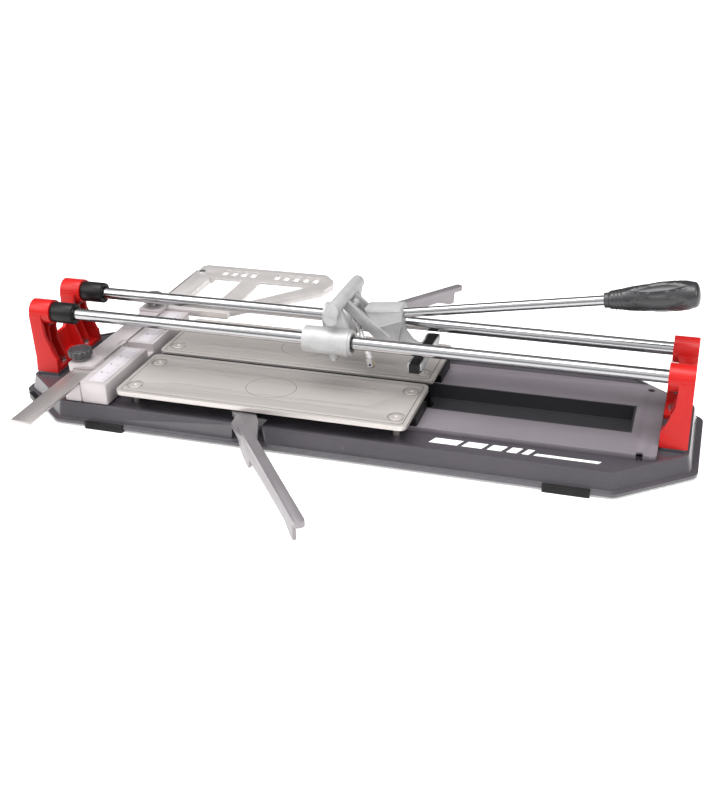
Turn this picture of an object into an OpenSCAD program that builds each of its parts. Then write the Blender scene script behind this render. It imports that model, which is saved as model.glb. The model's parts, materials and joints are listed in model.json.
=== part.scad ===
// Push tile cutter: a pressed base tray with two sprung tables, twin guide rails on cast end
// stands, and a sliding carriage whose lever holds the scoring wheel and the breaker foot.
// Origin: centre of the base on the bench. +X runs along the cut, +Y away from the user, +Z up.

/* [Rails] */
// Diameter of each guide rail
rail_d = 16; // [16:1:16]
// Distance between the two rail axes
rail_pitch = 77; // [76:1:78]
// Height of the rail axes above the bench
rail_z = 113; // [112:1:116]
// Free length of rail between the end stands
rail_span = 800; // [800:1:820]

/* [Base] */
// Length of the base over its flange
base_l = 888; // [886:1:910]
// Width of the base over its flange
base_w = 272; // [272:1:280]
// Width of the base's short ends
base_end_w = 138; // [130:1:150]
// Distance between the chamfer corners along the long sides
base_flat_l = 716; // [700:1:720]
// Height that the rubber feet lift the flange
feet_h = 3.5; // [3:0.5:4]
// Wall thickness of the base tray
tray_t = 3; // [2.5:0.5:3]
// Height of the light deck plate's top
deck_z = 33; // [33:0.5:33.5]

/* [Tables] */
// Length of each sprung table
table_l = 386; // [380:1:390]
// Width of each sprung table
table_w = 114.4; // [110:0.2:115]
// Thickness over the table's turned-down edge
table_t = 6; // [5.5:0.5:6]
// Height of the tables' top
table_z = 50; // [49.5:0.5:50]
// Width of the slot between the tables
table_gap = 9.2; // [9:0.2:10]
// How far the tables give under the breaker foot
table_give = 3; // [2:1:3]

/* [Fence] */
// Thickness of the fence block along the cut
fence_t = 38; // [36:1:38]
// Length of the fence block across the cut
fence_w = 243; // [236:1:244]
// Height of the fence's top
fence_z = 57; // [56:1:57]
// Face of the fence that the tile stands against
fence_face_x = -285; // [-286:1:-284]

/* [Square] */
// Width of the sliding ruler bar
bar_w = 28; // [26:1:28]
// Thickness of the ruler bar
bar_t = 3.5; // [3:0.5:3.5]
// Thickness of the angle square
square_t = 9.5; // [8:0.5:9.5]

/* [Carriage] */
// Outer diameter of the two sliding housings
housing_d = 34; // [32:1:34]
// Length of the sliding housings
housing_l = 59; // [58:1:60]
// Left end of the housings in the stored position
housing_x0 = -39.5; // [-42:0.5:-38]

/* [Lever] */
// Lever pivot, distance along the cut
pivot_x = 1.5; // [1:0.5:2.5]
// Lever pivot, height above the bench
pivot_z = 158.5; // [158:0.5:160]
// Pivot pin diameter
pin_d = 8; // [8:1:8]
// Rise of the lever rod above level
rod_a = 9.3; // [9:0.1:10]
// Diameter of the lever rod
rod_d = 12; // [11:1:12]
// Scoring wheel diameter
wheel_d = 12; // [10:1:12]

/* [Hidden] */
$fn = 64;
rail_y = rail_pitch / 2;
rail_r = rail_d / 2;
fit = 0.05; // running clearance on the radius
stand_x0 = rail_span / 2; // inner face of the stands' bosses
stand_x1 = stand_x0 + 29.5;
boss_d = 32.5;
blind = 5; // metal left beyond the rail's blind bore
base_z1 = 26; // dark border around the deck
ridge_z = 28;
pad_z = 31; // seats for the end stands
flange_t = 4;
flange_z = feet_h + flange_t;
tray_in = 7; // flange width outside the tray wall
trough_y = 34.5;
trough_z = 14;
trough_x0 = -270;
trough_x1 = 364.5;
deck_y = 84.5;
chamfer_a = atan((base_w - base_end_w) / (base_l - base_flat_l));
deck_x0 = -352;
deck_x1 = 397;
deck_back_y = 96; // the deck reaches further on the far side
deck_cut = 19; // size of its cut corner
table_skin = 3.4; // thickness of the tables' top sheet
table_x0 = -274.5;
table_xm = table_x0 + table_l / 2;
table_ym = table_gap / 2 + table_w / 2;
screw_dx = table_l / 2 - 18;
screw_dy = table_w / 2 - 23;
head_d = 17;
recess_d = 22;
recess_h = 2.6;
shank_d = 8;
shank_fit = 0.08;
bolt_x = 378;
bolt_y = 82;
bolt_r = 4.5;
fence_bolt_x = -304;
stand_bolt_x = 407;
stand_bolt_y = 30;
arm_pivot = [-101.6, 108.8];
arm_a = 51.5; // angle of the side arms from the long edge
arm_l = 277;
arm_back_l = 289; // the far side's arm reaches further
arm_w = 12.4;
arm_side = 18.2; // outer side of the bar from the pivot
arm_z0 = 34;
arm_z1 = 41;
arm_top = 47;
holder_top = 59;
clamp_top = 62;
bar_x0 = -351.5;
bar_z = 53;
square_z0 = 51;
front_knob = [-351.5, -66];
back_knob = [-342, 121];
front_knob_z = 77.5;
back_knob_z = 82;
stud_d = 8;
hood_r = 8.8;
hood_y = 50;
strap_y = 13;
strap_t = 4.5;
eye_r = 6.2;
hub_bore = 6.7;
lever_in = 12;
foot_x0 = 94.5;
foot_x1 = 111.5;
foot_y = 46.5;
foot_z0 = 87;
foot_h = 10.5;
foot_floor = 3;
foot_rims = [2.4, 1.6]; // left and right rim of its channel
shoe_t = 2.5; // pads under the foot
rod_start = [66, 141.3];
rod_len = 262;
foot_screw_x = 103;
shaft_top = [10, 150];
shaft_seat = [11.1, 146.2];
wheel_c = [32.2, 68];
rib_screw_x = [-220, -80, 60];
shaft_a = atan((wheel_c[0] - shaft_top[0]) / (shaft_top[1] - wheel_c[1]));
axle_d = 3;
shaft_d = 7;

// ---- outlines ------------------------------------------------------------------------

function unit(v) = v / norm(v);

// Convex outline p with every corner rounded to radius r, n facets to a corner
function rounded(p, r, n = 5) = [
  for (i = [0 : len(p) - 1])
    let (a = unit(p[(i + len(p) - 1) % len(p)] - p[i]), b = unit(p[(i + 1) % len(p)] - p[i]))
    let (half = acos(a * b) / 2, c = p[i] + unit(a + b) * r / sin(half))
    let (s = -a * cos(half) * r / sin(half), start = p[i] + a * r / tan(half) - c)
    let (end = p[i] + b * r / tan(half) - c, turn = 180 - 2 * half)
    let (way = start[0] * end[1] - start[1] * end[0] > 0 ? 1 : -1)
    for (k = [0 : n])
      let (t = way * turn * k / n)
      c + [start[0] * cos(t) - start[1] * sin(t), start[0] * sin(t) + start[1] * cos(t)]
];

function box_outline(x0, x1, y0, y1) = [[x0, y0], [x1, y0], [x1, y1], [x0, y1]];

// The base's eight-sided outline, drawn in by d on every side
function octagon(d) = let (lx = base_l / 2 - d, wy = base_w / 2 - d, ey = base_end_w / 2 - d * 0.55)
  let (cx = base_flat_l / 2 - d * 0.35)
  [[lx, -ey], [lx, ey], [cx, wy], [-cx, wy], [-lx, ey], [-lx, -ey], [-cx, -wy], [cx, -wy]];

module slab(p, z0, z1) {
  translate([0, 0, z0])
    linear_extrude(z1 - z0)
      polygon(p);
}

// A plate standing in the XZ plane between two Y values
module side_plate(p, y0, y1) {
  translate([0, y1, 0])
    rotate([90, 0, 0])
      linear_extrude(y1 - y0)
        polygon(p);
}

// A plate standing in the YZ plane between two X values
module end_plate(p, x0, x1) {
  translate([x0, 0, 0])
    rotate([90, 0, 90])
      linear_extrude(x1 - x0)
        polygon(p);
}

module along_x(x0, x1, y, z, r) {
  translate([x0, y, z])
    rotate([0, 90, 0])
      cylinder(r = r, h = x1 - x0);
}

module along_y(y0, y1, x, z, r) {
  translate([x, y0, z])
    rotate([-90, 0, 0])
      cylinder(r = r, h = y1 - y0);
}

module upright(x, y, z0, z1, r) {
  translate([x, y, z0])
    cylinder(r = r, h = z1 - z0);
}

module hex_head(x, y, z0, h, across) {
  translate([x, y, z0])
    cylinder(d = across / cos(30), h = h, $fn = 6);
}

module both_y() {
  children();
  mirror([0, 1, 0])
    children();
}

module both_x() {
  children();
  mirror([1, 0, 0])
    children();
}

module four() {
  both_x()
    both_y()
      children();
}

// ---- base ----------------------------------------------------------------------------

module base_outside() {
  slab(rounded(octagon(0), 14), feet_h, flange_z);
  hull() {
    slab(rounded(octagon(tray_in), 12), flange_z - 1, flange_z);
    slab(rounded(octagon(tray_in + 5), 10), ridge_z - 1, ridge_z);
  }
  both_x()
    slab(rounded(box_outline(deck_x1, 428.5, -58, 58), 4), ridge_z - 2, pad_z);
  both_y()
    upright(arm_pivot[0], -arm_pivot[1], base_z1 - 1, arm_z0 - 1, 11);
}

module table_screw_places() {
  for (dx = [-screw_dx, screw_dx], dy = [-screw_dy, screw_dy], side = [-1, 1])
    translate([table_xm + dx, side * table_ym + dy, 0])
      children();
}

// Notch in each long wall that the side arm passes over, its right corner rounded inwards
arm_notch = [
  [-110, -140], [-110, -101], [-72, -101], [-73, -116], [-70, -124], [-64, -130], [-64, -140]
];

module base_pan() {
  color("dimgray")
    difference() {
      union() {
        difference() {
          base_outside();
          hull() {
            slab(rounded(octagon(tray_in + tray_t), 9), feet_h - 1, feet_h);
            slab(rounded(octagon(tray_in + tray_t + 5), 8), base_z1 - tray_t - 1, base_z1 - tray_t);
          }
        }
        // pocket behind the notch for the side arm
        both_y()
          slab(box_outline(-113, -66, -125, -98), feet_h, base_z1 - 0.5);
      }
      // dark border let down inside the ridge
      difference() {
        slab(rounded(octagon(tray_in + 9), 9), base_z1, ridge_z + 1);
        both_x()
          slab(box_outline(deck_x1, 428.5, -58, 58), base_z1, ridge_z + 1);
        both_y()
          upright(arm_pivot[0], -arm_pivot[1], base_z1 - 1, ridge_z + 2, 11);
      }
      // opening of the trough, filled by the liner
      slab(box_outline(trough_x0, trough_x1, -trough_y, trough_y), base_z1 - 8, base_z1 + 1);
      // notch in each long wall where the side arm crosses it
      both_y()
        slab(arm_notch, flange_z + 0.5, ridge_z + 1);
      four()
        upright(bolt_x, bolt_y, 0, ridge_z + 1, bolt_r);
      table_screw_places()
        upright(0, 0, 10, ridge_z + 1, shank_d / 2);
      both_y()
        upright(arm_pivot[0], -arm_pivot[1], 10, arm_z0, 4);
      for (y = [-60, 60])
        upright(fence_bolt_x, y, 10, ridge_z + 1, 3);
      both_x()
        for (y = [-stand_bolt_y, stand_bolt_y])
          upright(stand_bolt_x, y, 10, pad_z + 1, 3);
    }
}

// Outline of the deck drawn in by d, its far right corner cut off beside the chamfered ridge
function deck_outline(d) = [
  [deck_x0 + d, -deck_y + d], [deck_x1 - d, -deck_y + d], [deck_x1 - d, deck_back_y - deck_cut],
  [deck_x1 - deck_cut, deck_back_y - d], [deck_x0 + d, deck_back_y - d]
];

module deck_plate() {
  color("slategray")
    difference() {
      slab(rounded(deck_outline(0), 6), base_z1, deck_z);
      slab(rounded(deck_outline(3), 4), base_z1 - 1, deck_z - 3);
      slab(box_outline(trough_x0, trough_x1, -trough_y, trough_y), base_z1 - 1, deck_z + 1);
      four()
        upright(bolt_x, bolt_y, 0, deck_z + 1, bolt_r);
      table_screw_places()
        upright(0, 0, 10, deck_z + 1, shank_d / 2);
      for (y = [-60, 60])
        upright(fence_bolt_x, y, 10, deck_z + 1, 3);
      both_y()
        upright(arm_pivot[0], -arm_pivot[1], base_z1 - 1, deck_z + 1, 28);
    }
}

// Folded trough under the cutting line
module trough_liner() {
  color("dimgray")
    difference() {
      slab(box_outline(trough_x0, trough_x1, -trough_y, trough_y), trough_z - 2.5, deck_z);
      slab(box_outline(trough_x0 + 2.5, trough_x1 - 2.5, -trough_y + 2.5, trough_y - 2.5),
        trough_z, deck_z + 1);
      for (x = rib_screw_x)
        upright(x, -7, 5, trough_z + 1, 2.5);
      table_screw_places()
        upright(0, 0, 5, trough_z + 1, shank_d / 2);
    }
}

module foot_clip(x, y, l) {
  translate([x, y, 0])
    difference() {
      slab(box_outline(-l / 2, l / 2, -3, 7), 0, flange_z + 1.8);
      slab(box_outline(-l / 2 - 1, l / 2 + 1, 0, 10), feet_h, flange_z);
      slab(box_outline(-l / 2 - 1, l / 2 + 1, 4, 10), flange_z - 1, flange_z + 4);
    }
}

module rubber_feet() {
  color("black") {
    both_y() {
      foot_clip(-286, -base_w / 2, 54);
      foot_clip(304, -base_w / 2, 54);
      // one more on each chamfer at the left end
      translate([-(base_l / 2 + base_flat_l / 2) / 2 - 18, -(base_end_w + base_w) / 4 + 14, 0])
        rotate([0, 0, -chamfer_a])
          foot_clip(0, 0, 30);
    }
  }
}

module bench_bolt_collars() {
  color("silver")
    four()
      difference() {
        upright(bolt_x, bolt_y, feet_h, base_z1 - tray_t, 9);
        upright(bolt_x, bolt_y, feet_h - 1, base_z1, bolt_r);
      }
}

// ---- end stands and rails ------------------------------------------------------------

// Front or back wall of a post, seen from the side
post_side = [
  [stand_x1, pad_z], [stand_x1, rail_z], [stand_x0 + 12, rail_z], [stand_x0 + 12, rail_z - 12],
  [stand_x0 + 11, 82], [stand_x0 + 4, 62], [stand_x0 - 2.5, 47], [stand_x0 - 2.5, pad_z]
];
post_rib = [
  [stand_x1 - 1, pad_z], [stand_x1 - 1, rail_z], [stand_x0 + 6, rail_z], [stand_x0 + 14, 84],
  [stand_x0 + 14, 66], [stand_x0 + 3, pad_z]
];

module right_stand_shape() {
  difference() {
    union() {
      both_y() {
        along_x(stand_x0, stand_x1, -rail_y, rail_z, boss_d / 2);
        side_plate(post_side, -55.5, -50.5);
        side_plate(post_rib, -rail_y - 2.5, -rail_y + 2.5);
        side_plate(post_rib, -24, -20);
        hull() {
          slab(box_outline(stand_x0 - 2.5, stand_x1, -58, -50), pad_z, pad_z + 1);
          slab(box_outline(stand_x0 - 2.5, stand_x1, -55.5, -50), 49, 50);
        }
        slab(box_outline(stand_x0 - 2.5, stand_x1, -56, -14), pad_z, pad_z + 5);
        end_plate([[-55.5, pad_z], [-55.5, rail_z], [-21.5, rail_z], [-20, 72], [-20, pad_z]],
          stand_x1 - 5, stand_x1);
      }
      end_plate([[-21, pad_z], [-21, 74], [-14, 66], [14, 66], [21, 74], [21, pad_z]],
        stand_x1 - 5, stand_x1);
      slab(box_outline(stand_x1 - 17, stand_x1, -15, 15), pad_z, pad_z + 5);
    }
    both_y() {
      along_x(stand_x0 - 1, stand_x1 - blind, -rail_y, rail_z, rail_r);
      upright(stand_bolt_x, -stand_bolt_y, pad_z - 1, pad_z + 6, 3.3);
      upright(stand_x0 + 10, -rail_y, rail_z - boss_d, rail_z, 2.5);
    }
  }
}

module right_end_stand() {
  color("red")
    right_stand_shape();
}

module left_end_stand() {
  color("red")
    mirror([1, 0, 0])
      right_stand_shape();
}

module stand_bolts() {
  color("silver")
    both_x()
      for (y = [-stand_bolt_y, stand_bolt_y]) {
        hex_head(stand_bolt_x, y, pad_z + 6.5, 4, 10);
        upright(stand_bolt_x, y, 14, pad_z + 7, 3);
      }
}

module stand_washers() {
  color("silver")
    both_x()
      for (y = [-stand_bolt_y, stand_bolt_y])
        difference() {
          upright(stand_bolt_x, y, pad_z + 5, pad_z + 6.5, 5.85);
          upright(stand_bolt_x, y, pad_z + 4, pad_z + 7, 3);
        }
}

module rail(side) {
  color("lightgray")
    along_x(-stand_x1 + blind, stand_x1 - blind, side * rail_y, rail_z, rail_r);
}

module front_rail() {
  rail(-1);
}

module back_rail() {
  rail(1);
}

module rail_bumpers() {
  color("black")
    both_y()
      difference() {
        along_x(-stand_x0, -stand_x0 + 32.5, -rail_y, rail_z, 14);
        along_x(-stand_x0 - 1, -stand_x0 + 34, -rail_y, rail_z, rail_r);
      }
}

module rail_lock_screws() {
  color("dimgray")
    both_x()
      both_y()
        upright(stand_x0 + 10, -rail_y, rail_z - boss_d / 2 - 3, rail_z - rail_r, 2.5);
}

// ---- tables --------------------------------------------------------------------------

// Table drawn about its own centre, top face at table_z
module table_shape() {
  lx = table_l / 2;
  wy = table_w / 2;
  difference() {
    slab(rounded(box_outline(-lx, lx, -wy, wy), 9), table_z - table_t, table_z);
    slab(rounded(box_outline(-lx + 2.5, lx - 2.5, -wy + 2.5, wy - 2.5), 6),
      table_z - table_t - 1, table_z - table_skin);
    // rim line pressed around the top
    difference() {
      slab(rounded(box_outline(-lx + 5, lx - 5, -wy + 5, wy - 5), 6), table_z - 0.4, table_z + 1);
      slab(rounded(box_outline(-lx + 6.2, lx - 6.2, -wy + 6.2, wy - 6.2), 5), table_z - 1, table_z + 1);
    }
    // long straight grip lines
    for (y = [-1, 1])
      for (run = [[-lx + 60, -46], [46, lx - 60]])
        slab(box_outline(run[0], run[1], y * 18 - 0.35, y * 18 + 0.35), table_z - 0.4, table_z + 1);
    for (y = [-1, 1])
      slab(box_outline(-lx + 60, lx - 60, y * 30 - 0.35, y * 30 + 0.35), table_z - 0.4, table_z + 1);
    for (dx = [-screw_dx, screw_dx], dy = [-screw_dy, screw_dy]) {
      upright(dx, dy, table_z - table_t - 1, table_z + 1, shank_d / 2 + shank_fit);
      upright(dx, dy, table_z - recess_h, table_z + 1, recess_d / 2);
    }
  }
  // seats for the shouldered screws
  for (dx = [-screw_dx, screw_dx], dy = [-screw_dy, screw_dy])
    translate([dx, dy, 0])
      difference() {
        upright(0, 0, table_z - table_t, table_z - recess_h, recess_d / 2 + 2);
        upright(0, 0, table_z - table_t - 1, table_z, shank_d / 2 + shank_fit);
      }
}

module front_table() {
  color("silver")
    translate([table_xm, -table_ym, 0])
      table_shape();
}

module back_table() {
  color("silver")
    translate([table_xm, table_ym, 0])
      table_shape();
}

module table_screws(side) {
  color("gainsboro")
    for (dx = [-screw_dx, screw_dx], dy = [-screw_dy, screw_dy])
      translate([table_xm + dx, side * table_ym + dy, 0])
        difference() {
          union() {
            upright(0, 0, trough_z - 2.5, table_z - recess_h + 1, shank_d / 2);
            upright(0, 0, table_z - recess_h + 0.4, table_z - 0.2, head_d / 2);
          }
          hex_head(0, 0, table_z - 1.6, 3, 5);
        }
}

module front_table_screws() {
  table_screws(-1);
}

module back_table_screws() {
  table_screws(1);
}

// Foam bed that a table rests on; it stays clear of the screws and of the side arm
module table_pads(side) {
  color("black")
    slab(box_outline(table_x0 + 4, table_x0 + table_l + 4, side > 0 ? 37 : -84, side > 0 ? 84 : -37),
      deck_z, table_z - table_t);
}

module front_table_pads() {
  table_pads(-1);
}

module back_table_pads() {
  table_pads(1);
}

module breaking_rib() {
  color("gray")
    difference() {
      union() {
        slab(box_outline(table_x0 + 8, table_x0 + table_l, -2, 2), trough_z, table_z - 1.5);
        slab(box_outline(table_x0 + 8, table_x0 + table_l, -12, 12), trough_z, trough_z + 3);
      }
      for (x = rib_screw_x)
        upright(x, -7, trough_z - 1, trough_z + 4, 2.5);
    }
}

module rib_screws() {
  color("silver")
    for (x = rib_screw_x) {
      upright(x, -7, trough_z - 2.5, trough_z + 3, 2.5);
      hex_head(x, -7, trough_z + 3, 2.5, 7);
    }
}

// ---- fence and square ----------------------------------------------------------------

fence_x0 = fence_face_x - fence_t;

// Room for the deck plate under the fence and its holder
module deck_room() {
  slab(box_outline(-400, fence_face_x + 1, -deck_y - 0.4, deck_back_y + 0.4), 20, deck_z);
}

// Place of the printed scale on each half of the fence's top
function scale_outline(s) = box_outline(fence_x0 + 9, fence_face_x - 7, s > 0 ? 12 : -114, s > 0 ? 114 : -12);

module fence_body() {
  color("thistle")
    difference() {
      slab(rounded(box_outline(fence_x0, fence_face_x, -fence_w / 2, fence_w / 2), 3), base_z1 + 3, fence_z);
      deck_room();
      // way through for the wheel at the end of its travel
      slab(box_outline(fence_x0 - 1, fence_face_x + 1, -8, 8), 45, fence_z + 1);
      // seats of the two printed scales
      for (s = [-1, 1])
        slab(scale_outline(s), fence_z - 0.4, fence_z + 1);
      for (y = [-60, 60])
        upright(fence_bolt_x, y, deck_z - 1, fence_z - 6, 3);
    }
}

// Ledge on the fence's outer side that the ruler bar runs in, with a cover over the bar
module fence_holder() {
  color("thistle")
    difference() {
      union() {
        slab(rounded(box_outline(bar_x0 + 4, fence_x0, -fence_w / 2, 130), 3), base_z1 + 3, bar_z + 2);
        slab(rounded(box_outline(bar_x0 - 3, fence_x0 - 2, -84, 131), 3), 46, holder_top);
        // raised clamps that carry the two knobs
        slab(rounded(box_outline(bar_x0 - 10, fence_x0, -86, -52), 6), 44, clamp_top);
        slab(rounded(box_outline(bar_x0 - 8, fence_x0, 104, 131), 5), 44, clamp_top);
        upright(front_knob[0], front_knob[1], clamp_top - 1, clamp_top + 1, 7.5);
        upright(back_knob[0], back_knob[1], clamp_top - 1, clamp_top + 1, 7.5);
      }
      deck_room();
      // room for the wheel at the end of its travel
      slab(box_outline(fence_x0 - 8, fence_x0 + 1, -8, 8), bar_z + bar_t + 0.6, 80);
      // channel that the bar runs in
      slab(box_outline(bar_x0 - 0.4, bar_x0 + bar_w + 0.1, -140, 200), bar_z, bar_z + bar_t + 0.4);
      // the ledge is open above the bar beyond the clamps
      for (s = [-1, 1])
        slab(box_outline(bar_x0 - 0.4, fence_x0 + 1, s > 0 ? 131 : -140, s > 0 ? 200 : -86), bar_z, 80);
      upright(front_knob[0], front_knob[1], bar_z + bar_t, 80, stud_d / 2);
      upright(back_knob[0], back_knob[1], bar_z + bar_t, 80, stud_d / 2);
    }
}

module fence_scales() {
  color("white")
    for (s = [-1, 1])
      difference() {
        slab(scale_outline(s), fence_z - 0.4, fence_z + 0.2);
        for (i = [0 : 20])
          slab(box_outline(fence_x0 + 9 - 1, fence_x0 + 13 + (i % 5 == 0 ? 5 : 0), s * (14 + 4.8 * i) - 0.3,
            s * (14 + 4.8 * i) + 0.3), fence_z, fence_z + 1);
      }
}

module fence_bolts() {
  color("silver")
    for (y = [-60, 60]) {
      upright(fence_bolt_x, y, base_z1 - tray_t, fence_z - 7, 3);
      hex_head(fence_bolt_x, y, base_z1 - tray_t - 4, 4, 10);
    }
}

module ruler_bar() {
  color("silver")
    difference() {
      slab([[bar_x0, -230], [bar_x0 + bar_w, -232], [bar_x0 + bar_w, 286], [bar_x0, 286]],
        bar_z, bar_z + bar_t);
      for (y = [140, 270])
        upright(bar_x0 + 18, y, bar_z - 1, bar_z + bar_t + 1, 2.5);
    }
}

square_skin = 3.6; // thickness of the square's top sheet
square_hollow = [
  [-308, 145], [-260, 145], [-254, 127.5], [-237.5, 127.5], [-124, 238], [-117, 266.5], [-120, 279],
  [-137.5, 298.5], [-308, 298.5]
];

module angle_square() {
  color("lightgray")
    difference() {
      union() {
        // back bar, left arm, middle strut and sloping arm make two windows
        slab([[-344, 250], [-136, 250], [-120.7, 236], [-113.5, 267], [-117, 281], [-136, 302], [-338, 302],
          [-344, 296]], square_z0, square_z0 + square_t);
        slab([[-343, 132], [-311.5, 132], [-311.5, 252], [-343, 252]], square_z0, square_z0 + square_t);
        slab(box_outline(-257, -226, 124, 252), square_z0, square_z0 + square_t);
        slab([[-257, 124], [-236, 124], [-120.7, 236], [-115.2, 258], [-140, 256]],
          square_z0, square_z0 + square_t);
        slab(box_outline(-322, -226, 124, 142), square_z0, square_z0 + square_t);
      }
      // hollow underside: a thin sheet with its outer rim turned down
      slab(square_hollow, square_z0 - 1, square_z0 + square_t - square_skin);
      // clear of the ruler bar, which is let into the underside
      slab(box_outline(bar_x0 - 1, bar_x0 + bar_w + 0.5, 100, 287), square_z0 - 1, bar_z + bar_t);
      for (y = [140, 270])
        upright(bar_x0 + 18, y, square_z0 - 1, square_z0 + square_t + 1, 2.5);
      // generic slots where the bar is cut through
      for (i = [0 : 3])
        slab(box_outline(-300 + i * 16, -291 + i * 16, 266, 286), square_z0 - 1, square_z0 + square_t + 1);
      for (i = [0 : 4])
        slab(box_outline(-212 + i * 16, -203 + i * 16, 266, 286), square_z0 - 1, square_z0 + square_t + 1);
    }
}

module square_screws() {
  color("silver")
    for (y = [140, 270]) {
      upright(bar_x0 + 18, y, bar_z, square_z0 + square_t, 2.5);
      upright(bar_x0 + 18, y, square_z0 + square_t, square_z0 + square_t + 2, 5);
    }
}

// Fluted clamp knob whose top is at z1
module knob(at, z1) {
  color("black")
    translate([at[0], at[1], 0])
      difference() {
        union() {
          upright(0, 0, z1 - 10.5, z1, 14.4);
          upright(0, 0, z1 - 14, z1 - 10, 9);
          for (i = [0 : 11])
            rotate([0, 0, 30 * i])
              upright(13.6, 0, z1 - 10.5, z1 - 1.5, 2.6);
        }
        upright(0, 0, z1 - 15, z1 - 6, stud_d / 2);
        difference() {
          upright(0, 0, z1 - 1.2, z1 + 1, 12);
          upright(0, 0, z1 - 2, z1 + 2, 8.5);
        }
      }
}

module front_knob() {
  knob(front_knob, front_knob_z);
}

module back_knob() {
  knob(back_knob, back_knob_z);
}

module stud(at, z1) {
  color("silver")
    upright(at[0], at[1], bar_z + bar_t + 0.7, z1, stud_d / 2);
}

module front_knob_stud() {
  stud(front_knob, front_knob_z - 7);
}

module back_knob_stud() {
  stud(back_knob, back_knob_z - 7);
}

// ---- side support arms ---------------------------------------------------------------

// Arm lying along +X from its pivot at the origin, then turned into place
arm_root = [
  [0, -13], [13, -11], [29, -21.5], [58, -21.5], [66, -18.2], [104, -18.2], [104, -5.8], [80, -4], [38, 10],
  [14, 13], [0, 13]
];

// Side view of the deep web on an arm of length l
function arm_web(l) = [
  [40, arm_z0 + 1], [42, 24], [52, 14], [72, 8], [84, 7], [90, 13], [93, 23], [l - 42, 27], [l - 21, 19],
  [l - 12, 19], [l - 9, arm_top - 1], [46, arm_top - 1], [46, arm_z1 - 1], [40, arm_z1 - 1]
];

module arm_shape(l) {
  difference() {
    union() {
      upright(0, 0, arm_z0, arm_z1, 13);
      slab(arm_root, arm_z0, arm_z1);
      // deep web under the outer edge, with a lobe near the root and a tooth at the tip
      side_plate(arm_web(l), -arm_side, -arm_side + 4);
      // raised bar that carries the tile level with the tables
      slab(rounded(box_outline(48, l, -arm_side, -arm_side + arm_w), 5), arm_z1 - 1, arm_top);
    }
    upright(0, 0, arm_z0 - 1, arm_z1 + 1, 4 + fit);
  }
}

module front_support_arm() {
  color("gray")
    translate([arm_pivot[0], -arm_pivot[1], 0])
      rotate([0, 0, -arm_a])
        arm_shape(arm_l);
}

module back_support_arm() {
  color("gray")
    mirror([0, 1, 0])
      translate([arm_pivot[0], -arm_pivot[1], 0])
        rotate([0, 0, -arm_a])
          arm_shape(arm_back_l);
}

module arm_pivot_bolts() {
  color("silver")
    both_y()
      translate([arm_pivot[0], -arm_pivot[1], 0]) {
        upright(0, 0, 14, arm_z1 + 1, 4);
        upright(0, 0, arm_z1 + 0.4, table_z - table_skin - table_give - 0.4, 7);
      }
}

module arm_washers() {
  color("silver")
    both_y()
      translate([arm_pivot[0], -arm_pivot[1], 0])
        difference() {
          upright(0, 0, arm_z0 - 1, arm_z0 - 0.3, 8);
          upright(0, 0, arm_z0 - 2, arm_z0, 4);
        }
}

// ---- carriage ------------------------------------------------------------------------

housing_x1 = housing_x0 + housing_l;
bush_d = 24;
bush_l = 16;

// Way cut in the hood for a strap over the whole of the lever's tilt
strap_way = [
  [pivot_x + 3.9, pivot_z + 5], [pivot_x + 23.6, pivot_z - 10.4], [pivot_x + 7.3, pivot_z - 24.7],
  [pivot_x - 5.4, pivot_z - 3.2]
];

module carriage_body() {
  color("gainsboro")
    difference() {
      union() {
        both_y() {
          along_x(housing_x0, housing_x1, -rail_y, rail_z, housing_d / 2);
          // collar on the right end
          along_x(housing_x1 - 1, housing_x1 + 3, -rail_y, rail_z, housing_d / 2 - 1.2);
          // sloping web that carries the pivot hood
          side_plate([[-16, rail_z + 10], [18, rail_z + 10], [pivot_x + 7, pivot_z - 4], [pivot_x - 7, pivot_z - 4]],
            -36, -30);
          // drop-shaped ear at the end of the hood
          along_y(-hood_y, -31, pivot_x - 3, pivot_z - 11, hood_r);
          side_plate([[pivot_x - hood_r + 0.6, pivot_z], [pivot_x - hood_r - 2.4, pivot_z - 11],
            [pivot_x + hood_r - 3.6, pivot_z - 11], [pivot_x + hood_r - 0.6, pivot_z]], -hood_y, -31);
          // flat oval pad on the housing's outer face
          side_plate([for (a = [0 : 15 : 345]) [20 * cos(a) - 10, rail_z + 6.5 * sin(a)]],
            -rail_y - housing_d / 2 - 0.8, -rail_y - housing_d / 2 + 6);
          upright(-3, -rail_y, rail_z - housing_d / 2 - 5, rail_z - 10, 6);
        }
        along_y(-hood_y, hood_y, pivot_x, pivot_z, hood_r);
      }
      // room inside the hood for the lever hub, with a slot for each strap
      along_y(-17, 17, pivot_x, pivot_z, hub_bore);
      both_y()
        side_plate(strap_way, -17, -11.3);
      along_y(-hood_y - 1, hood_y + 1, pivot_x, pivot_z, pin_d / 2);
      both_y() {
        along_x(housing_x0 - 1, housing_x1 + 1, -rail_y, rail_z, rail_r + 1);
        along_x(housing_x0 - 1, housing_x0 + bush_l + 2, -rail_y, rail_z, bush_d / 2);
        along_x(housing_x1 - bush_l - 2, housing_x1 + 4, -rail_y, rail_z, bush_d / 2);
        upright(-3, -rail_y, rail_z - housing_d / 2 - 6, rail_z, 2.5);
      }
    }
}

module rail_bushings() {
  color("ivory")
    both_y()
      for (x = [housing_x0 + 2, housing_x1 - bush_l - 2])
        difference() {
          along_x(x, x + bush_l, -rail_y, rail_z, bush_d / 2);
          along_x(x - 1, x + bush_l + 1, -rail_y, rail_z, rail_r + fit);
        }
}

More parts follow.
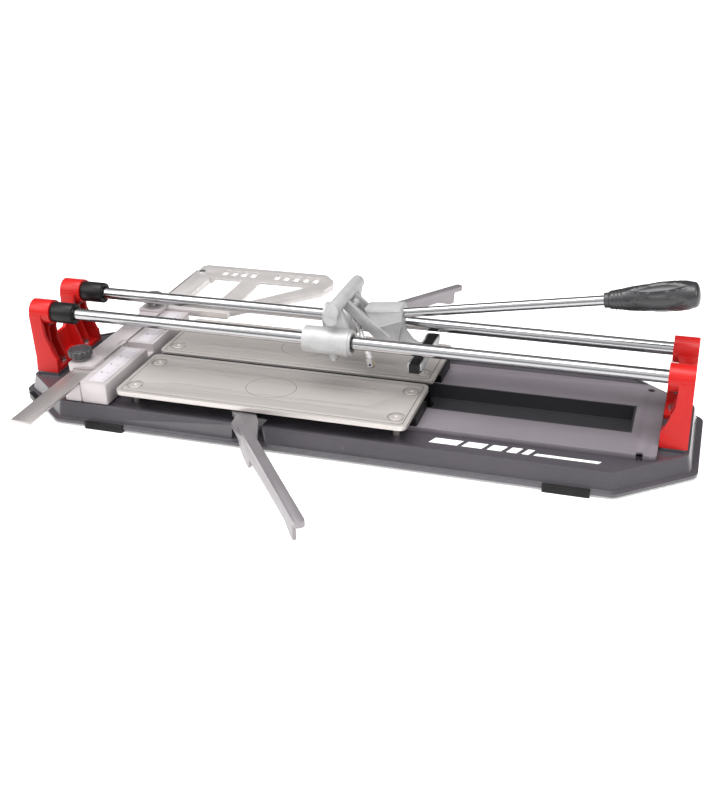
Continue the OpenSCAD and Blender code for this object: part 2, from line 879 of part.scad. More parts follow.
// Felt rings in both mouths of each housing
module rail_wipers() {
  color("black")
    both_y()
      difference() {
        union() {
          along_x(housing_x0, housing_x0 + 2, -rail_y, rail_z, bush_d / 2);
          along_x(housing_x1 - 2, housing_x1 + 2.4, -rail_y, rail_z, bush_d / 2);
        }
        along_x(housing_x0 - 1, housing_x1 + 4, -rail_y, rail_z, rail_r + 0.35);
      }
}

module carriage_screws() {
  color("silver")
    both_y() {
      upright(-3, -rail_y, rail_z - housing_d / 2 - 5, rail_z - 10, 2.5);
      hex_head(-3, -rail_y, rail_z - housing_d / 2 - 8, 3, 8);
    }
}

module pivot_pin() {
  color("silver")
    along_y(-hood_y, hood_y, pivot_x, pivot_z, pin_d / 2);
}

// Press-on covers over the ends of the pin
module pivot_caps() {
  color("gainsboro")
    both_y()
      along_y(-hood_y - 2, -hood_y, pivot_x, pivot_z, hood_r - 0.3);
}

// ---- lever ---------------------------------------------------------------------------

// Strap from the pivot eye down to the head block
strap_side = [
  [pivot_x + 3.9, pivot_z + 4.3], [63, 115], [59, 110.5], [46, 110.5], [pivot_x - 3.9, pivot_z - 4.3]
];
block_side = [
  [30, 148.2], [76, 153], [78.5, 146], [76.5, 128], [73.5, 110.5], [56, 110.5], [42, 127]
];
// Curved web between the block and the breaker foot
web_side = [
  [66, 130], [76.5, 130], [80, 118], [88, 108], [100, 101], [109.4, 98], [109.4, 91], [97.4, 91], [82, 97.5],
  [72, 106], [64, 112]
];

module lever_head() {
  color("gainsboro")
    difference() {
      union() {
        side_plate(block_side, -lever_in, lever_in);
        both_y() {
          side_plate(strap_side, -strap_y - strap_t + 1, -strap_y + 1.2);
          along_y(-strap_y - strap_t + 1, -strap_y + 1.2, pivot_x, pivot_z, eye_r);
          // raised border ribs on the block
          side_plate([[32, 146.4], [77.6, 151], [78, 149.2], [33, 144.6]], -lever_in - 1.2, -lever_in + 0.1);
          side_plate([[47, 126.5], [77.4, 137.8], [77.2, 136], [48, 124.9]], -lever_in - 1.2, -lever_in + 0.1);
        }
        side_plate(web_side, -5, 5);
        // cross bar between the straps that the wheel shaft hangs from
        along_y(-12, 12, shaft_seat[0], shaft_seat[1], 5.5);
      }
      along_y(-30, 30, pivot_x, pivot_z, pin_d / 2 + fit);
      on_shaft(0)
        cylinder(d = shaft_d, h = 120);
      // socket for the rod
      on_rod(-20)
        cylinder(d = rod_d, h = 60);
      upright(58, 0, 100, 138, 2.5);
      // seat for the foot screw
      upright(foot_screw_x, 0, 80, foot_z0 + foot_h, 2.5);
    }
}

// Placed on the axis of the wheel shaft, s above the wheel's centre
module on_shaft(s) {
  translate([wheel_c[0], 0, wheel_c[1]])
    rotate([0, -shaft_a, 0])
      translate([0, 0, s])
        children();
}

module hub_spacers() {
  color("silver")
    difference() {
      along_y(-11.8, 11.8, pivot_x, pivot_z, eye_r);
      along_y(-12, 12, pivot_x, pivot_z, pin_d / 2 + fit);
    }
}

module lever_rod() {
  color("lightgray")
    on_rod(-20)
      cylinder(d = rod_d, h = rod_len + 82);
}

module rod_lock_screws() {
  color("dimgray")
    upright(58, 0, 112, rod_start[1] - rod_d / 2 - 2, 2.5);
}

// Grip turned about the rod's own axis; s runs from its inner end
module on_rod(s) {
  translate([rod_start[0], 0, rod_start[1]])
    rotate([0, 90 - rod_a, 0])
      translate([0, 0, s])
        children();
}

module grip_collar() {
  color("black")
    on_rod(rod_len - 6)
      difference() {
        cylinder(d = 18, h = 6);
        translate([0, 0, -1])
          cylinder(d = rod_d, h = 8);
      }
}

module lever_grip() {
  color("black")
    on_rod(rod_len)
      difference() {
        rotate_extrude()
          polygon([[0, 0], [10.5, 0], [11.5, 3], [12.4, 9], [14.6, 30], [17.2, 52], [18, 62], [17.9, 72],
            [16.8, 86], [14.8, 96], [11, 100], [0, 101]]);
        translate([0, 0, -1])
          cylinder(d = rod_d, h = 63);
      }
}

module wheel_shaft() {
  color("lightgray")
    difference() {
      on_shaft(0)
        difference() {
          union() {
            translate([0, 0, 6])
              cylinder(d = shaft_d, h = norm(shaft_top - wheel_c) - 6);
            translate([-3.5, -3.4, -3.5])
              cube([7, 6.8, 12]);
          }
          translate([-9, -1.35, -12])
            cube([18, 2.7, 20]);
        }
      along_y(-10, 10, wheel_c[0], wheel_c[1], axle_d / 2);
    }
}

module shaft_clamp_screw() {
  color("dimgray")
    on_shaft(60)
      difference() {
        cylinder(d = 13, h = 10);
        translate([0, 0, -1])
          cylinder(d = shaft_d, h = 12);
      }
}

module wheel_axle() {
  color("gray")
    along_y(-4.2, 4.2, wheel_c[0], wheel_c[1], axle_d / 2);
}

module scoring_wheel() {
  color("gold")
    difference() {
      translate([wheel_c[0], 0, wheel_c[1]])
        rotate([90, 0, 0])
          rotate_extrude()
            polygon([[0, -1], [wheel_d / 2 - 1.2, -1], [wheel_d / 2, 0], [wheel_d / 2 - 1.2, 1], [0, 1]]);
      along_y(-10, 10, wheel_c[0], wheel_c[1], axle_d / 2 + fit);
    }
}

// Cross bar of the foot seen along X, its lower corners cut off
foot_end = [
  [-foot_y + 4, foot_z0], [foot_y - 4, foot_z0], [foot_y, foot_z0 + 4], [foot_y, foot_z0 + foot_h],
  [-foot_y, foot_z0 + foot_h], [-foot_y, foot_z0 + 4]
];

module shoe_pegs() {
  for (y = [-30, 30])
    upright(foot_screw_x, y, foot_z0 - 1, foot_z0 + foot_floor + 1, 3);
}

module breaker_foot() {
  color("gainsboro")
    difference() {
      end_plate(foot_end, foot_x0, foot_x1);
      slab(box_outline(foot_x0 + foot_rims[0], foot_x1 - foot_rims[1], -foot_y - 1, foot_y + 1),
        foot_z0 + foot_floor, foot_z0 + foot_h + 1);
      side_plate(web_side, -5, 5);
      upright(foot_screw_x, 0, foot_z0 - 1, foot_z0 + foot_h, 2.5);
      shoe_pegs();
    }
}

// Rubber block in the foot's channel, joined by pegs to the two pads that press on the tile
module breaker_shoe() {
  color("black")
    difference() {
      union() {
        slab(box_outline(foot_x0 + foot_rims[0], foot_x1 - foot_rims[1], -foot_y - 1, foot_y + 1),
          foot_z0 + foot_floor, foot_z0 + foot_h - 0.6);
        // ends of the block, folded down over the ends of the foot
        both_y()
          slab(box_outline(foot_x0 + foot_rims[0], foot_x1 - foot_rims[1], -foot_y - 2.5, -foot_y), foot_z0 - 1,
            foot_z0 + foot_h - 0.6);
        for (y0 = [-foot_y + 4, 16])
          slab(rounded(box_outline(foot_x0 + 1, foot_x1 - 1, y0, y0 + foot_y - 20), 4), foot_z0 - shoe_t, foot_z0);
        shoe_pegs();
      }
      side_plate(web_side, -5, 5);
      upright(foot_screw_x, 0, foot_z0 - 5, foot_z0 + foot_h, 5);
    }
}

module foot_screws() {
  color("silver")
    upright(foot_screw_x, 0, foot_z0, foot_z0 + foot_h, 2.5);
}

// ---- output --------------------------------------------------------------------------

base_pan();
deck_plate();
trough_liner();
rubber_feet();
bench_bolt_collars();
left_end_stand();
right_end_stand();
stand_bolts();
stand_washers();
front_rail();
back_rail();
rail_bumpers();
rail_lock_screws();
front_table();
back_table();
front_table_screws();
back_table_screws();
front_table_pads();
back_table_pads();
breaking_rib();
rib_screws();
fence_body();
fence_holder();
fence_scales();
fence_bolts();
ruler_bar();
angle_square();
square_screws();
front_knob();
front_knob_stud();
back_knob();
back_knob_stud();
front_support_arm();
back_support_arm();
arm_pivot_bolts();
arm_washers();
carriage_body();
rail_bushings();
rail_wipers();
carriage_screws();
pivot_pin();
pivot_caps();
lever_head();
hub_spacers();
lever_rod();
rod_lock_screws();
grip_collar();
lever_grip();
wheel_shaft();
shaft_clamp_screw();
wheel_axle();
scoring_wheel();
breaker_foot();
breaker_shoe();
foot_screws();
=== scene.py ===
"""Looks of the push tile cutter: softened castings, brushed plates, chrome rails, and a plain pale studio."""

import json
import math

import bmesh
import bpy
from mathutils import Matrix, Vector

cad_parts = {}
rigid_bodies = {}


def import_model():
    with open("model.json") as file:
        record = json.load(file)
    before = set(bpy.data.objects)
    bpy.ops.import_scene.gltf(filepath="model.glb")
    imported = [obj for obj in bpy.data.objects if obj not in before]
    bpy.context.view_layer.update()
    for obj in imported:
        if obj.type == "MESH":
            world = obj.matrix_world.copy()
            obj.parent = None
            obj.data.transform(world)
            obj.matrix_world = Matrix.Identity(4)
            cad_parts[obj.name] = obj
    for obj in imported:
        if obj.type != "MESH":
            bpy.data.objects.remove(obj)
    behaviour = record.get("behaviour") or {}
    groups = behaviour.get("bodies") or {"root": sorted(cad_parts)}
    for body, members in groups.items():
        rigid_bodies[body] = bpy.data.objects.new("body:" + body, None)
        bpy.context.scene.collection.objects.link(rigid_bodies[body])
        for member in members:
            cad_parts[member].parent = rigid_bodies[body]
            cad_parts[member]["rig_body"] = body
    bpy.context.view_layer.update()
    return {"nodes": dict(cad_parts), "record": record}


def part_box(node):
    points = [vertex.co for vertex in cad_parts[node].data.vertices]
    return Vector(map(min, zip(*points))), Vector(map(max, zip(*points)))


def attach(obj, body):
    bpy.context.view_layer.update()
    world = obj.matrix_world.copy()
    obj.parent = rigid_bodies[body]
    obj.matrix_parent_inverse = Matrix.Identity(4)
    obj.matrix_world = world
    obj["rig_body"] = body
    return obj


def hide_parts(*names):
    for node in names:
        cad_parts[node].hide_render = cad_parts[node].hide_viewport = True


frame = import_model()
nodes = frame["nodes"]
scene = bpy.context.scene


# ---- materials ---------------------------------------------------------------------------

class Graph:
    """A material's node tree with short calls for the few nodes used here."""

    def __init__(self, name):
        self.mat = bpy.data.materials.new(name)
        self.mat.use_nodes = True
        self.tree = self.mat.node_tree
        self.bsdf = self.tree.nodes["Principled BSDF"]
        self.coord = self.tree.nodes.new("ShaderNodeTexCoord").outputs["Object"]

    def link(self, a, b):
        self.tree.links.new(a, b)

    def mapped(self, scale):
        node = self.tree.nodes.new("ShaderNodeMapping")
        node.inputs["Scale"].default_value = scale
        self.link(self.coord, node.inputs["Vector"])
        return node.outputs["Vector"]

    def noise(self, scale, detail=3.0, rough=0.55):
        """Noise whose grain is scale features to the metre along X, Y and Z."""
        node = self.tree.nodes.new("ShaderNodeTexNoise")
        node.inputs["Scale"].default_value = 1.0
        node.inputs["Detail"].default_value = detail
        node.inputs["Roughness"].default_value = rough
        self.link(self.mapped(scale), node.inputs["Vector"])
        return node.outputs["Fac"]

    def spread(self, value, low, high, lo=0.3, hi=0.7):
        """The value's range from lo to hi, laid out from low to high."""
        node = self.tree.nodes.new("ShaderNodeMapRange")
        node.inputs["From Min"].default_value = lo
        node.inputs["From Max"].default_value = hi
        node.inputs["To Min"].default_value = low
        node.inputs["To Max"].default_value = high
        self.link(value, node.inputs["Value"])
        return node.outputs["Result"]

    def colours(self, value, stops):
        """A colour ramp over the value, from (place, colour) stops."""
        node = self.tree.nodes.new("ShaderNodeValToRGB")
        ramp = node.color_ramp
        while len(ramp.elements) < len(stops):
            ramp.elements.new(0.5)
        for element, (at, colour) in zip(ramp.elements, stops):
            element.position = at
            element.color = (*colour, 1)
        self.link(value, node.inputs["Fac"])
        return node.outputs["Color"]

    def bump(self, height, strength, distance):
        """Relief of distance metres from the height."""
        node = self.tree.nodes.new("ShaderNodeBump")
        node.inputs["Strength"].default_value = strength
        node.inputs["Distance"].default_value = distance
        self.link(height, node.inputs["Height"])
        self.link(node.outputs["Normal"], self.bsdf.inputs["Normal"])

    def mix(self, fac, socket, colour):
        """The socket's colour where fac is 0, and the given colour where it is 1."""
        node = self.tree.nodes.new("ShaderNodeMix")
        node.data_type = "RGBA"
        self.link(fac, node.inputs["Factor"])
        self.link(socket, node.inputs[6])
        node.inputs[7].default_value = (*colour, 1)
        return node.outputs[2]


def shade(colour, k):
    """The colour made k times as bright."""
    return tuple(min(1.0, c * k) for c in colour)


def surface(name, colour, metallic, rough, grain, vary, bump, size, fine, coat=0.0, specular=0.5):
    """A finish with soft colour drift, a roughness that follows a finer grain, and its own small relief."""
    g = Graph(name)
    g.bsdf.inputs["Metallic"].default_value = metallic
    g.bsdf.inputs["Coat Weight"].default_value = coat
    g.bsdf.inputs["Coat Roughness"].default_value = 0.08
    g.bsdf.inputs["Specular IOR Level"].default_value = specular
    drift = g.noise(grain)
    g.link(g.colours(drift, [(0.3, shade(colour, 1 - vary)), (0.7, shade(colour, 1 + vary))]),
           g.bsdf.inputs["Base Color"])
    small = g.noise(fine, 4)
    g.link(g.spread(small, rough * 0.8, rough * 1.25), g.bsdf.inputs["Roughness"])
    g.bump(small, bump, size)
    return g


def worn(g, colour, strength):
    """Rare light scuffs laid over the finish's own colour."""
    own = g.bsdf.inputs["Base Color"].links[0].from_socket
    scuff = g.noise((45, 45, 45), 6, 0.7)
    fine = g.noise((420, 420, 420), 3, 0.6)
    both = g.tree.nodes.new("ShaderNodeMath")
    both.operation = "MULTIPLY"
    g.link(scuff, both.inputs[0])
    g.link(fine, both.inputs[1])
    mask = g.spread(both.outputs[0], 0.0, strength, SCUFF_FROM, SCUFF_TO)
    g.link(g.mix(mask, own, colour), g.bsdf.inputs["Base Color"])


SCUFF_FROM, SCUFF_TO = 0.3844, 0.465   # where in the noise a scuff starts and is full

# colour, metallic, roughness, features to the metre of the drift, how far the colour drifts, strength and
# depth in metres of the relief, features to the metre of the relief
FINISHES = {
    "base_grey": ((0.047, 0.042, 0.050), 0.0, 0.38, (14, 14, 14), 0.1, 0.2, 0.0001, (1500, 1500, 1500)),
    "deck_grey": ((0.142, 0.127, 0.142), 0.0, 0.5, (9, 9, 9), 0.08, 0.3, 0.00015, (1700, 1700, 1700)),
    "rubber_black": ((0.006, 0.0055, 0.006), 0.0, 0.38, (80, 80, 80), 0.25, 0.2, 0.0001, (1300, 1300, 1300)),
    "bright_steel": ((0.62, 0.62, 0.64), 1.0, 0.25, (120, 120, 120), 0.08, 0.12, 0.0001, (2200, 2200, 500)),
    "red_paint": ((0.42, 0.007, 0.006), 0.0, 0.36, (22, 22, 22), 0.07, 0.10, 0.0001, (900, 900, 900)),
    "chrome_rail": ((0.38, 0.38, 0.388), 1.0, 0.15, (8, 90, 90), 0.04, 0.04, 0.00004, (30, 2600, 2600)),
    "dark_steel": ((0.06, 0.06, 0.065), 1.0, 0.4, (90, 90, 90), 0.2, 0.2, 0.0001, (1500, 1500, 1500)),
    "table_metal": ((0.525, 0.492, 0.470), 0.6, 0.4, (2.2, 30, 20), 0.035, 0.05, 0.00004, (16, 2300, 900)),
    # painted shade: the dark colour of the tables' pressed lines stands in for the shade inside their grooves
    "groove_dark": ((0.20, 0.175, 0.17), 0.5, 0.5, (40, 40, 40), 0.15, 0.15, 0.00005, (1500, 1500, 1500)),
    "fence_alloy": ((0.455, 0.416, 0.423), 0.35, 0.42, (25, 25, 25), 0.07, 0.2, 0.0001, (1500, 1500, 1500)),
    "trough_dark": ((0.022, 0.021, 0.024), 0.0, 0.42, (12, 12, 12), 0.12, 0.25, 0.00012, (1500, 1500, 1500)),
    "stripe_white": ((0.80, 0.79, 0.80), 0.0, 0.4, (60, 60, 60), 0.05, 0.1, 0.00004, (1800, 1800, 1800)),
    "scale_white": ((0.47, 0.445, 0.47), 0.0, 0.45, (40, 40, 40), 0.06, 0.1, 0.00005, (1500, 1500, 1500)),
    "square_steel": ((0.44, 0.41, 0.405), 0.8, 0.34, (30, 5, 30), 0.07, 0.16, 0.00008, (1900, 22, 900)),
    "square_alloy": ((0.60, 0.57, 0.56), 0.55, 0.4, (22, 22, 22), 0.08, 0.25, 0.00012, (1100, 1100, 1100)),
    "arm_alloy": ((0.245, 0.228, 0.238), 0.6, 0.42, (16, 16, 16), 0.1, 0.3, 0.00014, (900, 900, 900)),
    "knob_plastic": ((0.035, 0.033, 0.036), 0.0, 0.38, (90, 90, 90), 0.2, 0.25, 0.0001, (1400, 1400, 1400)),
    "grip_rubber": ((0.016, 0.016, 0.018), 0.0, 0.36, (50, 50, 50), 0.25, 0.2, 0.00015, (1300, 1300, 1300)),
    "cast_alloy": ((0.385, 0.385, 0.387), 0.3, 0.46, (60, 60, 60), 0.09, 0.35, 0.00022, (700, 700, 700)),
    "bush_plastic": ((0.62, 0.6, 0.53), 0.0, 0.45, (60, 60, 60), 0.06, 0.1, 0.0001, (900, 900, 900)),
    "carbide": ((0.42, 0.37, 0.27), 1.0, 0.28, (200, 200, 200), 0.1, 0.1, 0.00005, (2500, 2500, 2500)),
}
GLOSS = {   # finishes with a clear coat or a weaker reflection
    "base_grey": {"coat": 0.5},
    "rubber_black": {"specular": 0.22},
    "red_paint": {"coat": 0.06, "specular": 0.25},
    "grip_rubber": {"coat": 0.2},
}
SCUFFS = {   # finishes with light scuffs: their colour and strength
    "base_grey": ((0.16, 0.155, 0.17), 0.5),
    "deck_grey": ((0.24, 0.23, 0.25), 0.4),
    "red_paint": ((0.62, 0.09, 0.08), 0.25),
    "table_metal": ((0.50, 0.46, 0.44), 0.2),
    "cast_alloy": ((0.46, 0.46, 0.47), 0.5),
}
made = {}


def build_materials():
    for name, finish in FINISHES.items():
        made[name] = surface(name, *finish, **GLOSS.get(name, {}))
        if name in SCUFFS:
            worn(made[name], *SCUFFS[name])


# ---- pieces ------------------------------------------------------------------------------

SHARP_PIECE = math.radians(35)   # an edge with a larger angle stays sharp
SHARP_NODE = math.radians(30)
SHARP_BEVEL = math.radians(40)   # an edge with a larger angle is rounded over
FLAT_ENOUGH = math.radians(0.6)  # faces closer than this in angle are merged first


def join(mesh_or_bm, name, body, slot, smooth=True):
    """An object of a finished mesh that rides on a body and takes a slot's material."""
    mesh = mesh_or_bm
    if isinstance(mesh_or_bm, bmesh.types.BMesh):
        mesh = bpy.data.meshes.new(name)
        bmesh.ops.recalc_face_normals(mesh_or_bm, faces=mesh_or_bm.faces)
        mesh_or_bm.to_mesh(mesh)
        mesh_or_bm.free()
    mesh.materials.clear()
    mesh.materials.append(made[slot].mat)
    piece = bpy.data.objects.new(name, mesh)
    scene.collection.objects.link(piece)
    if smooth:
        mesh.shade_smooth()
        mesh.set_sharp_from_angle(angle=SHARP_PIECE)
    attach(piece, body)
    return piece


def slot_of(node):
    """The material slot that the record gives the node."""
    for row in frame["record"]["subparts"]:
        if row["node"] == node:
            return row["material_slot"]


def soften(node, width, segments):
    """The node's own shape with its hard edges rounded over, standing for the node."""
    bm = bmesh.new()
    bm.from_mesh(nodes[node].data)
    bmesh.ops.remove_doubles(bm, verts=bm.verts, dist=1e-6)
    bmesh.ops.dissolve_limit(bm, angle_limit=FLAT_ENOUGH, verts=bm.verts, edges=bm.edges)
    mesh = bpy.data.meshes.new(node + "_soft")
    bm.to_mesh(mesh)
    bm.free()
    piece = bpy.data.objects.new(node + "_soft", mesh)
    scene.collection.objects.link(piece)
    rounder = piece.modifiers.new("round", "BEVEL")
    rounder.width = width
    rounder.segments = segments
    rounder.limit_method = "ANGLE"
    rounder.angle_limit = SHARP_BEVEL
    done = bpy.data.meshes.new_from_object(piece.evaluated_get(bpy.context.evaluated_depsgraph_get()))
    bpy.data.objects.remove(piece)
    soft = join(done, node + "_soft", nodes[node]["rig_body"], slot_of(node))
    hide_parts(node)
    return soft


def ring_rows(bm, rows, closed_top=True, closed_bottom=True):
    """Faces between rings of equal length, with the first and last ring closed by a fan."""
    rings = [[bm.verts.new(p) for p in row] for row in rows]
    n = len(rings[0])
    for a, b in zip(rings, rings[1:]):
        for i in range(n):
            bm.faces.new((a[i], a[(i + 1) % n], b[(i + 1) % n], b[i]))
    for ring, wanted in ((rings[0], closed_bottom), (rings[-1], closed_top)):
        if wanted:
            middle = bm.verts.new(sum((v.co for v in ring), Vector()) / n)
            for i in range(n):
                bm.faces.new((ring[i], ring[(i + 1) % n], middle))


def smooth_step(x):
    """0 below 0, 1 above 1, and a soft rise between."""
    x = max(0.0, min(1.0, x))
    return x * x * (3 - 2 * x)


def through(points, x):
    """Height at x of a smooth curve through the points."""
    for k in range(len(points) - 1):
        if x <= points[k + 1][0] or k == len(points) - 2:
            p0, p1, p2, p3 = (points[max(0, min(len(points) - 1, k + d))] for d in (-1, 0, 1, 2))
            w = p2[0] - p1[0]
            t = (x - p1[0]) / w
            m1 = (p2[1] - p0[1]) / max(p2[0] - p0[0], 1e-9) * w
            m2 = (p3[1] - p1[1]) / max(p3[0] - p1[0], 1e-9) * w
            return ((2 * t**3 - 3 * t**2 + 1) * p1[1] + (t**3 - 2 * t**2 + t) * m1
                    + (3 * t**2 - 2 * t**3) * p2[1] + (t**3 - t**2) * m2)


LEVER_ROOT = Vector((0.066, 0, 0.1413))   # the rod's axis where it leaves the head, and how steeply it rises
LEVER_SLOPE = math.radians(9.3)
GRIP_FROM = 0.262                          # along the rod to the narrow end of the grip
GRIP_LENGTH = 0.094                        # of the part before the rounded end
GRIP = [(0.0, 0.0105), (0.003, 0.0115), (0.009, 0.0124), (0.03, 0.0146), (0.052, 0.0171), (0.062, 0.0178),
        (0.072, 0.0177), (0.086, 0.0167), (GRIP_LENGTH, 0.0152)]   # place along the grip and radius there
GRIP_RINGS = (0.0055, 0.0095, 0.0135)
GRIP_AROUND = 96
PANELS = 6


def grip_radius(s, angle):
    """Radius of the grip at s along it, with its rings and the oval panels sunk into it."""
    rings = sum(math.exp(-((s - at) / 0.0009) ** 2) for at in GRIP_RINGS) * 0.0006
    middles = (k * 2 * math.pi / PANELS for k in range(PANELS))
    near = min(abs((angle - c + math.pi) % (2 * math.pi) - math.pi) for c in middles)
    oval = math.hypot((s - 0.055) / 0.031, near / 0.36)
    panel = 0.0010 * smooth_step((1 - oval) / 0.22) - 0.00045 * math.exp(-((oval - 1.08) / 0.08) ** 2)
    return through(GRIP, s) - rings - panel - 0.0004


def build_grip():
    """Rubber grip with long oval finger panels and three rings at its narrow end."""
    along = Vector((math.cos(LEVER_SLOPE), 0, math.sin(LEVER_SLOPE)))
    side = Vector((0, 1, 0))
    up = along.cross(side) * -1
    angles = [2 * math.pi * j / GRIP_AROUND for j in range(GRIP_AROUND)]

    def point(s, angle, radius):
        out = side * math.cos(angle) + up * math.sin(angle)
        return LEVER_ROOT + along * (GRIP_FROM + s) + out * radius

    rows = []
    for i in range(GRIP_AROUND + 1):
        s = GRIP_LENGTH * i / GRIP_AROUND
        rows.append([point(s, a, grip_radius(s, a)) for a in angles])
    for k in range(1, 9):
        turn = math.pi / 2 * k / 8.5
        radius = 0.0148 * math.cos(turn) ** 0.8
        rows.append([point(GRIP_LENGTH + 0.0066 * math.sin(turn), a, radius) for a in angles])
    bm = bmesh.new()
    ring_rows(bm, rows)
    grip = join(bm, "grip", "lever", "grip_rubber")
    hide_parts("lever_grip")


# share of the knob's radius, millimetres below its top, and how deep the flutes are there
KNOB = (
    (0.52, 14.0, 0), (0.55, 13.6, 0), (0.55, 10.9, 0), (0.80, 10.7, 0), (0.95, 10.2, 0.7), (0.985, 9.2, 1),
    (0.985, 6.0, 1), (0.985, 3.2, 1), (0.965, 2.3, 1), (0.92, 1.6, 0.6), (0.84, 1.15, 0), (0.74, 0.95, 0),
    (0.72, 1.25, 0), (0.62, 1.30, 0), (0.60, 0.95, 0), (0.45, 0.45, 0), (0.22, 0.1, 0), (0.05, 0.0, 0),
)
KNOB_AROUND = 144
KNOB_FLUTES = 12


def build_knob(node):
    """Fluted clamp knob with a domed, ringed top."""
    low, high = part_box(node)
    centre = (low + high) / 2
    size, top = (high.x - low.x) / 2, high.z
    rows = []
    for share, drop, flute in KNOB:
        row = []
        for j in range(KNOB_AROUND):
            a = 2 * math.pi * j / KNOB_AROUND
            groove = (0.5 - 0.5 * math.cos(KNOB_FLUTES * a)) ** 2
            radius = size * share * (1 - 0.11 * flute * groove)
            row.append((centre.x + radius * math.cos(a), centre.y + radius * math.sin(a), top - drop / 1000))
        rows.append(row)
    bm = bmesh.new()
    ring_rows(bm, rows)
    knob = join(bm, node + "_fluted", nodes[node]["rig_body"], "knob_plastic")
    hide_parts(node)


def band(bm, rows):
    """A closed band through rings of equal length, the last ring joined back to the first."""
    ring_rows(bm, rows, False, False)
    n = len(rows[0])
    first, last = list(bm.verts)[:n], list(bm.verts)[-n:]
    for i in range(n):
        bm.faces.new((first[i], first[(i + 1) % n], last[(i + 1) % n], last[i]))


OVAL_AROUND = 96


def oval_ring(name, body, centre, rx, ry, z, width, rise, slot):
    """Low raised oval line pressed into a plate."""
    rows = []
    for out, lift in ((-1.0, -0.15), (-0.55, 0.8), (0.0, 1.0), (0.55, 0.8), (1.0, -0.15)):
        row = []
        for j in range(OVAL_AROUND):
            a = 2 * math.pi * j / OVAL_AROUND
            x = centre[0] + (rx + out * width / 2) * math.cos(a)
            y = centre[1] + (ry + out * width / 2) * math.sin(a)
            row.append((x, y, z + lift * rise))
        rows.append(row)
    bm = bmesh.new()
    band(bm, rows)
    return join(bm, name, body, slot)


def flat_marks(name, body, outlines, z, thick, slot):
    """Thin flat shapes lying on a level face: print, and the painted groove shade of the tables' lines."""
    bm = bmesh.new()
    for outline in outlines:
        lower = [bm.verts.new((x, y, z)) for x, y in outline]
        upper = [bm.verts.new((x, y, z + thick)) for x, y in outline]
        bm.faces.new(lower)
        bm.faces.new(upper)
        for i in range(len(outline)):
            j = (i + 1) % len(outline)
            bm.faces.new((lower[i], lower[j], upper[j], upper[i]))
    return join(bm, name, body, slot, smooth=False)


def rounded_outline(low, high, inset, radius):
    """Corner arcs of a rounded rectangle drawn in by inset."""
    points = []
    for sx, sy, start in ((1, 1, 0), (-1, 1, 90), (-1, -1, 180), (1, -1, 270)):
        cx = (high.x if sx > 0 else low.x) - sx * (inset + radius)
        cy = (high.y if sy > 0 else low.y) - sy * (inset + radius)
        for k in range(9):
            a = math.radians(start + 90 * k / 8)
            points.append((cx + radius * math.cos(a), cy + radius * math.sin(a)))
    return points


def rim_line(name, body, low, high, inset, width, z, thick, slot):
    """Flush line that follows a plate's rounded edge."""
    outer = rounded_outline(low, high, inset, 0.006)
    inner = rounded_outline(low, high, inset + width, 0.005)
    corners = ((outer, z), (outer, z + thick), (inner, z + thick), (inner, z))
    bm = bmesh.new()
    band(bm, [[(x, y, h) for x, y in line] for line, h in corners])
    return join(bm, name, body, slot, smooth=False)


CLIP_MIDDLES = (-0.286, 0.304)   # along the base, of the clips on its long sides
CLIP_RIBS = 19
RIB_FROM, RIB_PITCH = 0.0255, 0.0026


def build_clip_ribs():
    """Slanted grip ribs on the outer faces of the rubber clips."""
    low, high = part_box("rubber_feet")
    bm = bmesh.new()
    for side, face in ((-1, low.y), (1, high.y)):
        for middle in CLIP_MIDDLES:
            for k in range(CLIP_RIBS):
                x = middle - RIB_FROM + RIB_PITCH * k
                outline = [(x, 0.0012), (x + 0.0011, 0.0012), (x + 0.0032, 0.0084), (x + 0.0021, 0.0084)]
                near = [bm.verts.new((px, face - side * 0.0004, pz)) for px, pz in outline]
                far = [bm.verts.new((px, face + side * 0.0006, pz)) for px, pz in outline]
                bm.faces.new(near)
                bm.faces.new(far)
                for i in range(4):
                    j = (i + 1) % 4
                    bm.faces.new((near[i], near[j], far[j], far[i]))
    join(bm, "clip_ribs", "base", "rubber_black", smooth=False)


STRIPES_FROM, STRIPES_TO = 0.136, 0.335          # along the base's near border
STRIPE_LOW, STRIPE_HIGH = -0.1045, -0.0925
STRIPE_WIDTHS = (0.034, 0.024, 0.017, 0.012, 0.008)
STRIPE_SLANT, STRIPE_GAP = 0.006, 0.006
BORDER_TOP = 0.02598                             # just into the base's top face
TICK_PITCH, TICKS = 0.005, 20
LINE_HALF = 0.0003                               # half the width of a fine line
LINE_SINK, LINE_THICK = 0.0003, 0.00024          # the tables' lines, painted groove shade, lie flush, just under the top
OVAL_RADII = (0.033, 0.027)
LINES_IN = 0.060                                 # from a table's ends to its lines
OVAL_CLEAR = 0.046                               # from a table's middle to the lines beside its oval


def rectangle(x0, x1, y, half):
    return [(x0, y - half), (x1, y - half), (x1, y + half), (x0, y + half)]


def build_stripes():
    """Plain slanted blocks and a long bar on the near border."""
    blocks = []
    x = STRIPES_FROM
    for width in STRIPE_WIDTHS:
        blocks.append([(x, STRIPE_LOW), (x + width, STRIPE_LOW),
                       (x + width + STRIPE_SLANT, STRIPE_HIGH), (x + STRIPE_SLANT, STRIPE_HIGH)])
        x += width + STRIPE_GAP
    bar_high = -0.0995
    blocks.append([(x, STRIPE_LOW), (STRIPES_TO, STRIPE_LOW),
                   (STRIPES_TO + STRIPE_SLANT / 2, bar_high), (x + STRIPE_SLANT / 2, bar_high)])
    flat_marks("border_stripes", "base", blocks, BORDER_TOP, 0.00022, "stripe_white")


